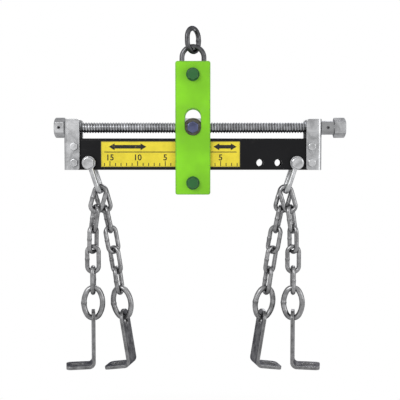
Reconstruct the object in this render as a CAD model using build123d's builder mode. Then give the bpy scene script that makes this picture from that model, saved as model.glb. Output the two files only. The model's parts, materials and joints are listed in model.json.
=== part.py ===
"""Engine load leveler: a bar that hangs from one lifting point and is trimmed level by a screw.

The bar hangs on a screw, the screw runs through a nut, and the nut's trunnion rests in slots in a
carrier. Turning the screw shifts the bar sideways under the lifting point. A shackle at each end of
the bar holds two short chains, and each chain ends in an angle bracket that bolts to the load.

Millimetres and degrees. The origin is the top of the lift ring's eye, +X runs along the bar to the
right, +Y points away from the labelled face, and +Z is up.
"""

from build123d import *
import os
from math import cos, radians, sin, sqrt, tan

os.makedirs("parts", exist_ok=True)

# Gaps
contact_gap = 0.3  # between round bars that hang on each other
running_gap = 0.3  # between a piece that turns or slides and its seat
bolt_clearance = 0.2  # around a bolt or pin in its hole, on the radius
fit_gap = 0.2  # between pieces that are slipped together and bolted

# Lift ring and carrier link
ring_wire = 9
ring_inner_width = 26
ring_inner_length = 33
ring_yaw = 55
link_wire = 9
link_inner_width = 31
link_inner_length = 56.6

# Carrier
plate_width = 63
plate_thickness = 6
plate_corner_radius = 4
plate_edge_chamfer = 0.8
plate_above_bolt = 24
plate_below_bolt = 21
carrier_bolt_spacing = 194.4
carrier_bolt_diameter = 12
carrier_bolt_overhang = 3
spool_waist_diameter = 16
spool_shoulder_diameter = 24
spool_waist_side_gap = 1
roller_sleeve_diameter = 18
roller_diameter = 26
roller_end_gap = 0.6
roller_chamfer = 1

# Trunnion in the carrier's slots
screw_below_top_bolt = 94.4
slot_travel = 20
bush_diameter = 28
bush_flange_diameter = 34
bush_flange_thickness = 1.5
bush_proud = 0.8
trunnion_diameter = 16
nut_length = 44
nut_height = 33
nut_edge_chamfer = 2
trunnion_thread_diameter = 12
trunnion_thread_length = 7
trunnion_thread_end_gap = 0.5

# Leveling screw and its ends
screw_diameter = 19
journal_diameter = 16
thrust_washer_diameter = 28
thrust_washer_thickness = 1.5
screw_bush_diameter = 22
screw_bush_flange_diameter = 26
screw_bush_flange_thickness = 2
screw_bush_proud = 1
drive_head_flats = 32
left_head_length = 18.4
right_collar_diameter = 25
right_collar_length = 23
right_head_length = 21
drive_head_floor = 4
roll_pin_diameter = 5
roll_pin_wall = 1
roll_pin_slit = 1.2
roll_pin_overhang = 0.5

# Bar
bar_height = 57
bar_depth = 38
bar_wall = 3
bar_corner_radius = 4
bar_half_length = 226.3
bar_top_below_screw = 19.6
bar_side_gap = 1.5
chain_bolt_from_bar_end = 39.3
chain_bolt_above_bar_bottom = 13
chain_bolt_diameter = 12
chain_sleeve_diameter = 18
spare_hole_diameter = 13
spare_hole_spacing = 33
spare_hole_from_chain_bolt = 32.6
label_from_left_end = 59.3
label_from_right_end = 140.3
label_edge_margin = 0.5
label_thickness = 0.5
label_corner_radius = 2

# End brackets, bent from plate round the bar's ends
bracket_web = 6
bracket_cheek = 5
bracket_length = 27.8
bracket_above_screw = 15.4
bracket_bend_radius = 2
bracket_corner_radius = 5
end_bolt_diameter = 8
end_bolt_from_web = 12.3
end_bolt_spacing = 29
end_bolt_overhang = 2
plug_length = 22

# Shackles
shackle_wire = 9
shackle_ear_diameter = 24
shackle_ear_flat = 0.5
shackle_ear_gap = 1.5
shackle_drop = 55
shackle_bend_radius = 14
shackle_lean = 18
shackle_leg_inset = 3

# Chains: an outer and an inner one at each end of the bar
chain_wire = 8
chain_inner_width = 13
chain_inner_length = 39
chain_spacing = 11
end_link_wire = 10
end_link_width = 44
end_link_length = 66
end_link_bend_radius = 13
outer_yaws = (0, -60, -120, -180, -270, -350)
outer_leans = (16, 8, 1, 0, 0, 0)
inner_yaws = (0, -70, -145, -220, -290, -375)
inner_leans = (-16, -12, -10, -9, -8, -9)

# Angle brackets at the chains' ends
foot_thickness = 6
foot_width = 38
foot_length = 53
foot_bend_radius = 6
foot_toe_radius = 8
leg_hole_diameter = 18
leg_length = 88
foot_hole_diameter = 13
foot_slot_length = 26
foot_slot_from_toe = 21

# Fasteners: width across flats, head height and nut height by thread diameter
large_flats = 19  # on the carrier, chain and shoulder bolts
large_head_height = 7.5
large_nut_height = 10
large_washer_diameter = 24
small_flats = 13  # on the end bolts
small_head_height = 5.5
small_nut_height = 6.5
washer_thickness = 2.5
hex_chamfer_angle = 30
hex_top_share = 0.95

# Places that follow from the sizes above
link_top_z = -ring_inner_length + contact_gap
top_bolt_z = link_top_z - link_inner_length + contact_gap + spool_waist_diameter / 2
bottom_bolt_z = top_bolt_z - carrier_bolt_spacing
screw_z = top_bolt_z - screw_below_top_bolt
bar_top_z = screw_z - bar_top_below_screw
bar_bottom_z = bar_top_z - bar_height
chain_bolt_z = bar_bottom_z + chain_bolt_above_bar_bottom
chain_bolt_x = bar_half_length - chain_bolt_from_bar_end
label_left = label_from_left_end - bar_half_length
label_right = bar_half_length - label_from_right_end
plate_gap = bar_depth + 2 * bar_side_gap
plate_outer_y = plate_gap / 2 + plate_thickness
carrier_seat_y = plate_outer_y + washer_thickness
end_web_outer_x = bar_half_length + bracket_web
bracket_outer_y = bar_depth / 2 + fit_gap + bracket_cheek
ear_inner_y = bar_depth / 2 + shackle_ear_gap
ear_outer_y = ear_inner_y + shackle_wire
chain_washer_y = ear_outer_y + running_gap
chain_seat_y = chain_washer_y + washer_thickness
foot_outer_bend = foot_bend_radius + foot_thickness


# Planes that look along Y, X or a link's own face

def front_seat(x, y, z):
    """A plane at depth y that faces the labelled side, with its own x pointing up."""
    return Plane(origin=(x, y, z), x_dir=(0, 0, 1), z_dir=(0, -1, 0))


def rear_seat(x, y, z):
    """A plane at depth y that faces away from the labelled side, with its own x pointing up."""
    return Plane(origin=(x, y, z), x_dir=(0, 0, 1), z_dir=(0, 1, 0))


def end_seat(x, z, side):
    """A plane at x that faces outwards along the bar: side is -1 for left and 1 for right."""
    return Plane(origin=(x, 0, z), x_dir=(0, 0, 1), z_dir=(side, 0, 0))


def hanging_plane(centre, yaw, lean):
    """The plane of a hanging link: turned by yaw about its length, then leaned along the bar."""
    across = Vector(1, 0, 0).rotate(Axis.Z, yaw).rotate(Axis.Y, lean)
    normal = Vector(0, -1, 0).rotate(Axis.Z, yaw).rotate(Axis.Y, lean)
    return Plane(origin=centre, x_dir=across, z_dir=normal)


# Round bar bent into links

def straight_link(plane, wire, inner_width, inner_length):
    """A link with straight sides between two half rings, centred on the plane."""
    bend_radius = (inner_width + wire) / 2
    half_straight = (inner_length - inner_width) / 2
    with BuildPart() as link:
        for end in (1, -1):
            section = Plane(
                origin=plane.from_local_coords((end * bend_radius, end * half_straight, 0)),
                x_dir=plane.x_dir,
                z_dir=plane.y_dir,
            )
            bend_centre = plane.from_local_coords((0, end * half_straight, 0))
            with BuildSketch(section):
                Circle(wire / 2)
            revolve(axis=Axis(bend_centre, plane.z_dir), revolution_arc=180)
            with BuildSketch(section):
                Circle(wire / 2)
            extrude(amount=-end * 2 * half_straight)
    return link


def oval_link(plane, wire, width, length, bend_radius):
    """A link with bowed sides: four tangent arcs. Width and length are overall."""
    half_width = (width - wire) / 2
    end_centre = (length - wire) / 2 - bend_radius
    side_radius = (end_centre**2 + half_width**2 - bend_radius**2) / (2 * (half_width - bend_radius))
    side_centre = half_width - side_radius
    bow = Vector(1, 0, 0).get_angle(Vector(-side_centre, end_centre, 0))
    with BuildPart() as link:
        for end in (1, -1):
            side_start = (
                end * (side_centre + side_radius * cos(radians(bow))),
                -end * side_radius * sin(radians(bow)),
                0,
            )
            bend_start = (
                end * bend_radius * cos(radians(bow)),
                end * (end_centre + bend_radius * sin(radians(bow))),
                0,
            )
            side_pivot = plane.from_local_coords((end * side_centre, 0, 0))
            bend_pivot = plane.from_local_coords((0, end * end_centre, 0))
            side_path = plane.y_dir.rotate(Axis((0, 0, 0), plane.z_dir), -bow) * end
            bend_path = plane.y_dir.rotate(Axis((0, 0, 0), plane.z_dir), bow) * end
            with BuildSketch(Plane(plane.from_local_coords(side_start), z_dir=side_path)):
                Circle(wire / 2)
            revolve(axis=Axis(side_pivot, plane.z_dir), revolution_arc=2 * bow)
            with BuildSketch(Plane(plane.from_local_coords(bend_start), z_dir=bend_path)):
                Circle(wire / 2)
            revolve(axis=Axis(bend_pivot, plane.z_dir), revolution_arc=180 - 2 * bow)
    return link


# Fasteners, made once at the origin with their seat on XY

def hex_body(flats, length):
    """A hexagon that stands on the seat, with the corners of its free face turned off."""
    corner_radius = flats / sqrt(3)
    top_radius = hex_top_share * flats / 2
    shoulder = length - (corner_radius - top_radius) * tan(radians(hex_chamfer_angle))
    with BuildPart() as body:
        with BuildSketch():
            RegularPolygon(flats / 2, 6, major_radius=False)
        extrude(amount=length)
        with BuildSketch(Plane.XZ):
            Polygon(
                (0, 0),
                (corner_radius, 0),
                (corner_radius, shoulder),
                (top_radius, length),
                (0, length),
                align=None,
            )
        revolve(axis=Axis.Z, mode=Mode.INTERSECT)
    return body


def hex_bolt(diameter, flats, head_height, shank_length):
    """A bolt with its head above the seat and its shank below it."""
    head = hex_body(flats, head_height)
    with BuildPart() as bolt:
        add(head.part)
        with BuildSketch():
            Circle(diameter / 2)
        extrude(amount=-shank_length)
        chamfer(bolt.edges().sort_by(Axis.Z)[0], diameter / 12)
    return bolt


def hex_nut(diameter, flats, height):
    """A nut that stands on the seat."""
    body = hex_body(flats, height)
    with BuildPart() as nut:
        add(body.part)
        Hole(diameter / 2 + bolt_clearance)
    return nut


def ring_piece(outer_diameter, inner_diameter, length):
    """A washer, sleeve or collar that stands on the seat."""
    with BuildPart() as piece:
        with BuildSketch():
            Circle(outer_diameter / 2)
            Circle(inner_diameter / 2, mode=Mode.SUBTRACT)
        extrude(amount=length)
    return piece


carrier_bolt = hex_bolt(
    carrier_bolt_diameter,
    large_flats,
    large_head_height,
    2 * carrier_seat_y + large_nut_height + carrier_bolt_overhang,
)
carrier_nut = hex_nut(carrier_bolt_diameter, large_flats, large_nut_height)
carrier_washer = ring_piece(
    large_washer_diameter,
    carrier_bolt_diameter + 2 * bolt_clearance,
    washer_thickness,
)
chain_bolt = hex_bolt(
    chain_bolt_diameter,
    large_flats,
    large_head_height,
    2 * chain_seat_y + large_nut_height + carrier_bolt_overhang,
)
chain_nut = hex_nut(chain_bolt_diameter, large_flats, large_nut_height)
chain_washer = ring_piece(
    large_washer_diameter,
    chain_bolt_diameter + 2 * bolt_clearance,
    washer_thickness,
)
end_bolt = hex_bolt(
    end_bolt_diameter,
    small_flats,
    small_head_height,
    2 * bracket_outer_y + small_nut_height + end_bolt_overhang,
)
end_nut = hex_nut(end_bolt_diameter, small_flats, small_nut_height)


# Lift ring

lift_ring = straight_link(
    hanging_plane((0, 0, -ring_inner_length / 2), ring_yaw, 0),
    ring_wire,
    ring_inner_width,
    ring_inner_length,
)
lift_ring.part.label = "lift_ring"
export_step(lift_ring.part, "parts/lift_ring.step")

carrier_link = straight_link(
    hanging_plane((0, 0, link_top_z - link_inner_length / 2), 0, 0),
    link_wire,
    link_inner_width,
    link_inner_length,
)
carrier_link.part.label = "carrier_link"
export_step(carrier_link.part, "parts/carrier_link.step")


# Carrier: two plates held apart by a spool and a roller's sleeve

def carrier_plate(plane):
    """One plate, with two bolt holes and the slot that its trunnion bush rests in."""
    height = plate_above_bolt + carrier_bolt_spacing + plate_below_bolt
    centre_z = top_bolt_z + plate_above_bolt - height / 2
    bolt_radius = carrier_bolt_diameter / 2 + bolt_clearance
    with BuildPart() as plate:
        with BuildSketch(plane):
            with Locations((0, centre_z)):
                RectangleRounded(plate_width, height, plate_corner_radius)
            with Locations((0, top_bolt_z), (0, bottom_bolt_z)):
                Circle(bolt_radius, mode=Mode.SUBTRACT)
            with Locations((0, screw_z + slot_travel / 2)):
                SlotCenterToCenter(
                    slot_travel,
                    bush_diameter + 2 * running_gap,
                    rotation=90,
                    mode=Mode.SUBTRACT,
                )
        extrude(amount=plate_thickness)
        for face in plate.faces().filter_by(Axis.Y):
            chamfer(face.outer_wire().edges(), plate_edge_chamfer)
    return plate


front_carrier_plate = carrier_plate(Plane.XZ.offset(plate_gap / 2))
front_carrier_plate.part.label = "front_carrier_plate"
export_step(front_carrier_plate.part, "parts/front_carrier_plate.step")

rear_carrier_plate = carrier_plate(Plane.XZ.offset(-plate_outer_y))
rear_carrier_plate.part.label = "rear_carrier_plate"
export_step(rear_carrier_plate.part, "parts/rear_carrier_plate.step")

with BuildPart() as carrier_bolts:
    with Locations(*[front_seat(0, -carrier_seat_y, z) for z in (top_bolt_z, bottom_bolt_z)]):
        add(carrier_bolt.part)
carrier_bolts.part.label = "carrier_bolts"
export_step(carrier_bolts.part, "parts/carrier_bolts.step")

with BuildPart() as carrier_nuts:
    with Locations(*[rear_seat(0, carrier_seat_y, z) for z in (top_bolt_z, bottom_bolt_z)]):
        add(carrier_nut.part)
carrier_nuts.part.label = "carrier_nuts"
export_step(carrier_nuts.part, "parts/carrier_nuts.step")

with BuildPart() as carrier_washers:
    with Locations(
        *[front_seat(0, -plate_outer_y, z) for z in (top_bolt_z, bottom_bolt_z)],
        *[rear_seat(0, plate_outer_y, z) for z in (top_bolt_z, bottom_bolt_z)],
    ):
        add(carrier_washer.part)
carrier_washers.part.label = "carrier_washers"
export_step(carrier_washers.part, "parts/carrier_washers.step")

# The spool's waist keeps the carrier link in the middle of the bolt
with BuildPart() as link_spool:
    with BuildSketch(Plane.XZ.offset(-plate_gap / 2)):
        with Locations((0, top_bolt_z)):
            Circle(spool_shoulder_diameter / 2)
    extrude(amount=plate_gap)
    waist_length = link_wire + 2 * spool_waist_side_gap
    with BuildSketch(Plane.XZ.offset(-waist_length / 2)):
        with Locations((0, top_bolt_z)):
            Circle(spool_shoulder_diameter / 2)
            Circle(spool_waist_diameter / 2, mode=Mode.SUBTRACT)
    extrude(amount=waist_length, mode=Mode.SUBTRACT)
    with BuildSketch(Plane.XZ.offset(-plate_gap / 2)):
        with Locations((0, top_bolt_z)):
            Circle(carrier_bolt_diameter / 2 + bolt_clearance)
    extrude(amount=plate_gap, mode=Mode.SUBTRACT)
link_spool.part.label = "link_spool"
export_step(link_spool.part, "parts/link_spool.step")

with BuildPart() as roller_sleeve:
    with BuildSketch(Plane.XZ.offset(-plate_gap / 2)):
        with Locations((0, bottom_bolt_z)):
            Circle(roller_sleeve_diameter / 2)
            Circle(carrier_bolt_diameter / 2 + bolt_clearance, mode=Mode.SUBTRACT)
    extrude(amount=plate_gap)
roller_sleeve.part.label = "roller_sleeve"
export_step(roller_sleeve.part, "parts/roller_sleeve.step")

with BuildPart() as bottom_roller:
    roller_length = plate_gap - 2 * roller_end_gap
    with BuildSketch(Plane.XZ.offset(-roller_length / 2)):
        with Locations((0, bottom_bolt_z)):
            Circle(roller_diameter / 2)
            Circle(roller_sleeve_diameter / 2 + running_gap, mode=Mode.SUBTRACT)
    extrude(amount=roller_length)
    for face in bottom_roller.faces().filter_by(Axis.Y):
        chamfer(face.outer_wire().edges(), roller_chamfer)
bottom_roller.part.label = "bottom_roller"
export_step(bottom_roller.part, "parts/bottom_roller.step")


# Trunnion: two flanged bushes in the slots, and the nut that turns between them

bush_flange_outer_y = plate_gap / 2 - running_gap
bush_flange_inner_y = bush_flange_outer_y - bush_flange_thickness
bush_tip_y = plate_outer_y + bush_proud
nut_half_width = bush_flange_inner_y - running_gap
trunnion_head_y = bush_tip_y + running_gap

with BuildPart() as trunnion_bushes:
    for seat in (front_seat(0, 0, screw_z), rear_seat(0, 0, screw_z)):
        with BuildSketch(seat.offset(bush_flange_inner_y)):
            Circle(bush_flange_diameter / 2)
        extrude(amount=bush_flange_thickness)
        with BuildSketch(seat.offset(bush_flange_inner_y)):
            Circle(bush_diameter / 2)
        extrude(amount=bush_tip_y - bush_flange_inner_y)
        with BuildSketch(seat.offset(bush_flange_inner_y)):
            Circle(trunnion_diameter / 2 + running_gap)
        extrude(amount=bush_tip_y - bush_flange_inner_y, mode=Mode.SUBTRACT)
trunnion_bushes.part.label = "trunnion_bushes"
export_step(trunnion_bushes.part, "parts/trunnion_bushes.step")

with BuildPart() as trunnion_nut:
    with BuildSketch(Plane.XZ.offset(-nut_half_width)):
        with Locations((0, screw_z)):
            Rectangle(nut_length, nut_height)
    extrude(amount=2 * nut_half_width)
    chamfer(trunnion_nut.edges().filter_by(Axis.Y), nut_edge_chamfer)
    with BuildSketch(end_seat(-nut_length / 2, screw_z, 1)):
        Circle(screw_diameter / 2 + running_gap)
    extrude(amount=nut_length, mode=Mode.SUBTRACT)
    for seat in (front_seat(0, 0, screw_z), rear_seat(0, 0, screw_z)):
        with BuildSketch(seat.offset(nut_half_width)):
            Circle(trunnion_thread_diameter / 2 + bolt_clearance)
        extrude(amount=-trunnion_thread_length - trunnion_thread_end_gap, mode=Mode.SUBTRACT)
trunnion_nut.part.label = "trunnion_nut"
export_step(trunnion_nut.part, "parts/trunnion_nut.step")

# Shoulder screws: the plain shoulder turns in its bush, and the head keeps the bush in its slot
shoulder_length = trunnion_head_y - nut_half_width
shoulder_screw_head = hex_body(large_flats, large_head_height)
with BuildPart() as shoulder_screw:
    add(shoulder_screw_head.part)
    with BuildSketch():
        Circle(trunnion_diameter / 2)
    extrude(amount=-shoulder_length)
    with BuildSketch():
        Circle(trunnion_thread_diameter / 2)
    extrude(amount=-shoulder_length - trunnion_thread_length)

with BuildPart() as trunnion_screws:
    with Locations(front_seat(0, -trunnion_head_y, screw_z), rear_seat(0, trunnion_head_y, screw_z)):
        add(shoulder_screw.part)
trunnion_screws.part.label = "trunnion_screws"
export_step(trunnion_screws.part, "parts/trunnion_screws.step")


# Leveling screw: its shoulders bear on thrust washers, and a drive head is pinned to each end

bush_flange_x = bar_half_length - screw_bush_flange_thickness
shoulder_x = bush_flange_x - thrust_washer_thickness - 2 * running_gap
head_start_x = end_web_outer_x + screw_bush_proud + running_gap
left_head_end_x = head_start_x + left_head_length
right_head_end_x = head_start_x + right_collar_length + right_head_length
left_pin_x = head_start_x + left_head_length / 2
right_pin_x = head_start_x + right_collar_length / 2
head_bore = journal_diameter + 2 * bolt_clearance
pin_bore = roll_pin_diameter + 2 * bolt_clearance
pin_holes = ((-1, left_pin_x), (1, right_pin_x))

with BuildPart() as leveling_screw:
    with BuildSketch(end_seat(-shoulder_x, screw_z, 1)):
        Circle(screw_diameter / 2)
    extrude(amount=2 * shoulder_x)
    for side, head_end_x in ((-1, left_head_end_x), (1, right_head_end_x)):
        with BuildSketch(end_seat(side * shoulder_x, screw_z, side)):
            Circle(journal_diameter / 2)
        extrude(amount=head_end_x - drive_head_floor - fit_gap - shoulder_x)
    for side, pin_x in pin_holes:
        with BuildSketch(Plane.XZ):
            with Locations((side * pin_x, screw_z)):
                Circle(pin_bore / 2)
        extrude(amount=journal_diameter, both=True, mode=Mode.SUBTRACT)
leveling_screw.part.label = "leveling_screw"
export_step(leveling_screw.part, "parts/leveling_screw.step")

left_hexagon = hex_body(drive_head_flats, left_head_length)
right_hexagon = hex_body(drive_head_flats, right_head_length)

with BuildPart() as left_drive_head:
    seat = end_seat(-head_start_x, screw_z, -1)
    with Locations(seat):
        add(left_hexagon.part)
    with BuildSketch(seat):
        Circle(head_bore / 2)
    extrude(amount=left_head_length - drive_head_floor, mode=Mode.SUBTRACT)
    with BuildSketch(Plane.XZ):
        with Locations((-left_pin_x, screw_z)):
            Circle(pin_bore / 2)
    extrude(amount=drive_head_flats, both=True, mode=Mode.SUBTRACT)
left_drive_head.part.label = "left_drive_head"
export_step(left_drive_head.part, "parts/left_drive_head.step")

with BuildPart() as right_drive_head:
    with Locations(end_seat(head_start_x + right_collar_length, screw_z, 1)):
        add(right_hexagon.part)
    seat = end_seat(head_start_x, screw_z, 1)
    with BuildSketch(seat):
        Circle(right_collar_diameter / 2)
    extrude(amount=right_collar_length)
    with BuildSketch(seat):
        Circle(head_bore / 2)
    extrude(amount=right_collar_length + right_head_length - drive_head_floor, mode=Mode.SUBTRACT)
    with BuildSketch(Plane.XZ):
        with Locations((right_pin_x, screw_z)):
            Circle(pin_bore / 2)
    extrude(amount=drive_head_flats, both=True, mode=Mode.SUBTRACT)
right_drive_head.part.label = "right_drive_head"
export_step(right_drive_head.part, "parts/right_drive_head.step")

# Slit roll pins, across the flats of the left head and across the right head's collar
with BuildPart() as roll_pins:
    for x, width in ((-left_pin_x, drive_head_flats), (right_pin_x, right_collar_diameter)):
        half_pin = width / 2 + roll_pin_overhang
        with BuildSketch(Plane.XZ.offset(-half_pin)):
            with Locations((x, screw_z)):
                Circle(roll_pin_diameter / 2)
                Circle(roll_pin_diameter / 2 - roll_pin_wall, mode=Mode.SUBTRACT)
            with Locations((x + roll_pin_diameter / 2, screw_z)):
                Rectangle(roll_pin_diameter, roll_pin_slit, mode=Mode.SUBTRACT)
        extrude(amount=2 * half_pin)
roll_pins.part.label = "roll_pins"
export_step(roll_pins.part, "parts/roll_pins.step")

with BuildPart() as thrust_washers:
    for side in (-1, 1):
        with BuildSketch(end_seat(side * (shoulder_x + running_gap), screw_z, side)):
            Circle(thrust_washer_diameter / 2)
            Circle(head_bore / 2, mode=Mode.SUBTRACT)
        extrude(amount=thrust_washer_thickness)
thrust_washers.part.label = "thrust_washers"
export_step(thrust_washers.part, "parts/thrust_washers.step")

with BuildPart() as screw_bushes:
    for side in (-1, 1):
        with BuildSketch(end_seat(side * bush_flange_x, screw_z, side)):
            Circle(screw_bush_flange_diameter / 2)
        extrude(amount=screw_bush_flange_thickness)
        with BuildSketch(end_seat(side * bush_flange_x, screw_z, side)):
            Circle(screw_bush_diameter / 2)
        extrude(amount=end_web_outer_x + screw_bush_proud - bush_flange_x)
        with BuildSketch(end_seat(side * bush_flange_x, screw_z, side)):
            Circle(journal_diameter / 2 + running_gap)
        extrude(amount=end_web_outer_x + screw_bush_proud - bush_flange_x, mode=Mode.SUBTRACT)
screw_bushes.part.label = "screw_bushes"
export_step(screw_bushes.part, "parts/screw_bushes.step")


# Bar

bar_centre_z = bar_bottom_z + bar_height / 2
end_bolt_x = end_web_outer_x - bracket_web - end_bolt_from_web
end_bolt_zs = (chain_bolt_z, chain_bolt_z + end_bolt_spacing)
spare_hole_xs = [
    chain_bolt_x - spare_hole_from_chain_bolt - step * spare_hole_spacing for step in (0, 1)
]
chain_hole_radius = chain_bolt_diameter / 2 + bolt_clearance
end_hole_radius = end_bolt_diameter / 2 + bolt_clearance

with BuildPart() as bar_tube:
    with BuildSketch(Plane.YZ.offset(-bar_half_length)):
        with Locations((0, bar_centre_z)):
            RectangleRounded(bar_depth, bar_height, bar_corner_radius)
            RectangleRounded(
                bar_depth - 2 * bar_wall,
                bar_height - 2 * bar_wall,
                bar_corner_radius - bar_wall,
                mode=Mode.SUBTRACT,
            )
    extrude(amount=2 * bar_half_length)
    with BuildSketch(Plane.XZ):
        with Locations(*[(side * chain_bolt_x, chain_bolt_z) for side in (-1, 1)]):
            Circle(chain_hole_radius)
        with Locations(*[(x, chain_bolt_z) for x in spare_hole_xs]):
            Circle(spare_hole_diameter / 2)
        with Locations(*[(side * end_bolt_x, z) for side in (-1, 1) for z in end_bolt_zs]):
            Circle(end_hole_radius)
    extrude(amount=bar_depth, both=True, mode=Mode.SUBTRACT)
bar_tube.part.label = "bar_tube"
export_step(bar_tube.part, "parts/bar_tube.step")

with BuildPart() as bar_label:
    with BuildSketch(Plane.XZ.offset(bar_depth / 2)):
        with Locations(((label_left + label_right) / 2, bar_centre_z)):
            RectangleRounded(
                label_right - label_left,
                bar_height - 2 * (bar_corner_radius + label_edge_margin),
                label_corner_radius,
            )
    extrude(amount=label_thickness)
bar_label.part.label = "bar_label"
export_step(bar_label.part, "parts/bar_label.step")

with BuildPart() as chain_bolt_sleeves:
    sleeve_length = bar_depth - 2 * bar_wall
    with BuildSketch(Plane.XZ.offset(-sleeve_length / 2)):
        with Locations(*[(side * chain_bolt_x, chain_bolt_z) for side in (-1, 1)]):
            Circle(chain_sleeve_diameter / 2)
            Circle(chain_hole_radius, mode=Mode.SUBTRACT)
    extrude(amount=sleeve_length)
chain_bolt_sleeves.part.label = "chain_bolt_sleeves"
export_step(chain_bolt_sleeves.part, "parts/chain_bolt_sleeves.step")

with BuildPart() as end_plugs:
    for side in (-1, 1):
        with BuildSketch(Plane.YZ.offset(side * (bar_half_length - plug_length / 2) - plug_length / 2)):
            with Locations((0, bar_centre_z)):
                Rectangle(
                    bar_depth - 2 * (bar_wall + fit_gap),
                    bar_height - 2 * (bar_wall + fit_gap),
                )
        extrude(amount=plug_length)
    chamfer(end_plugs.edges().filter_by(Axis.X), bar_corner_radius - bar_wall)
    with BuildSketch(Plane.XZ):
        with Locations(*[(side * end_bolt_x, z) for side in (-1, 1) for z in end_bolt_zs]):
            Circle(end_hole_radius)
    extrude(amount=bar_depth, both=True, mode=Mode.SUBTRACT)
end_plugs.part.label = "end_plugs"
export_step(end_plugs.part, "parts/end_plugs.step")


# End brackets

def end_bracket(side):
    """Plate bent into a U round the bar's end, with the screw's bush in its web."""
    inner_y = bar_depth / 2 + fit_gap
    web_x = side * end_web_outer_x
    tip_x = side * (end_web_outer_x - bracket_length)
    with BuildPart() as bracket:
        with BuildSketch(Plane.XY.offset(bar_bottom_z)):
            with BuildLine():
                Polyline(
                    (tip_x, bracket_outer_y),
                    (web_x, bracket_outer_y),
                    (web_x, -bracket_outer_y),
                    (tip_x, -bracket_outer_y),
                    (tip_x, -inner_y),
                    (web_x - side * bracket_web, -inner_y),
                    (web_x - side * bracket_web, inner_y),
                    (tip_x, inner_y),
                    close=True,
                )
            make_face()
            for y in (-bracket_outer_y, bracket_outer_y):
                corner = vertices().sort_by_distance((web_x, y, 0))[0]
                fillet(corner, bracket_bend_radius + bracket_cheek)
        extrude(amount=screw_z + bracket_above_screw - bar_bottom_z)
        tip_edges = bracket.edges().filter_by(Axis.Y).group_by(Axis.X)[0 if side > 0 else -1]
        fillet(tip_edges, bracket_corner_radius)
        with BuildSketch(end_seat(web_x, screw_z, -side)):
            Circle(screw_bush_diameter / 2 + fit_gap / 2)
        extrude(amount=bracket_web, mode=Mode.SUBTRACT)
        with BuildSketch(Plane.XZ):
            with Locations(*[(side * end_bolt_x, z) for z in end_bolt_zs]):
                Circle(end_hole_radius)
        extrude(amount=2 * bracket_outer_y, both=True, mode=Mode.SUBTRACT)
    return bracket


left_end_bracket = end_bracket(-1)
left_end_bracket.part.label = "left_end_bracket"
export_step(left_end_bracket.part, "parts/left_end_bracket.step")

right_end_bracket = end_bracket(1)
right_end_bracket.part.label = "right_end_bracket"
export_step(right_end_bracket.part, "parts/right_end_bracket.step")

end_bolt_places = [(side * end_bolt_x, z) for side in (-1, 1) for z in end_bolt_zs]

with BuildPart() as end_bolts:
    with Locations(*[front_seat(x, -bracket_outer_y, z) for x, z in end_bolt_places]):
        add(end_bolt.part)
end_bolts.part.label = "end_bolts"
export_step(end_bolts.part, "parts/end_bolts.step")

with BuildPart() as end_bolt_nuts:
    with Locations(*[rear_seat(x, bracket_outer_y, z) for x, z in end_bolt_places]):
        add(end_nut.part)
end_bolt_nuts.part.label = "end_bolt_nuts"
export_step(end_bolt_nuts.part, "parts/end_bolt_nuts.step")


# Chain bolts

with BuildPart() as chain_bolts:
    with Locations(*[front_seat(s * chain_bolt_x, -chain_seat_y, chain_bolt_z) for s in (-1, 1)]):
        add(chain_bolt.part)
chain_bolts.part.label = "chain_bolts"
export_step(chain_bolts.part, "parts/chain_bolts.step")

with BuildPart() as chain_bolt_nuts:
    with Locations(*[rear_seat(s * chain_bolt_x, chain_seat_y, chain_bolt_z) for s in (-1, 1)]):
        add(chain_nut.part)
chain_bolt_nuts.part.label = "chain_bolt_nuts"
export_step(chain_bolt_nuts.part, "parts/chain_bolt_nuts.step")

with BuildPart() as chain_bolt_washers:
    with Locations(
        *[front_seat(s * chain_bolt_x, -chain_washer_y, chain_bolt_z) for s in (-1, 1)],
        *[rear_seat(s * chain_bolt_x, chain_washer_y, chain_bolt_z) for s in (-1, 1)],
    ):
        add(chain_washer.part)
chain_bolt_washers.part.label = "chain_bolt_washers"
export_step(chain_bolt_washers.part, "parts/chain_bolt_washers.step")


# Shackles: round bar with flattened ears that straddles the bar and carries two chains

def shackle_down(side):
    """The direction in which a shackle hangs: it leans towards the middle of the bar."""
    lean = radians(shackle_lean)
    return Vector(-side * sin(lean), 0, -cos(lean))


def bow_centre(side):
    """The middle of a shackle's bow, where the chains hang."""
    return Vector(side * chain_bolt_x, 0, chain_bolt_z) + shackle_down(side) * shackle_drop


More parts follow.
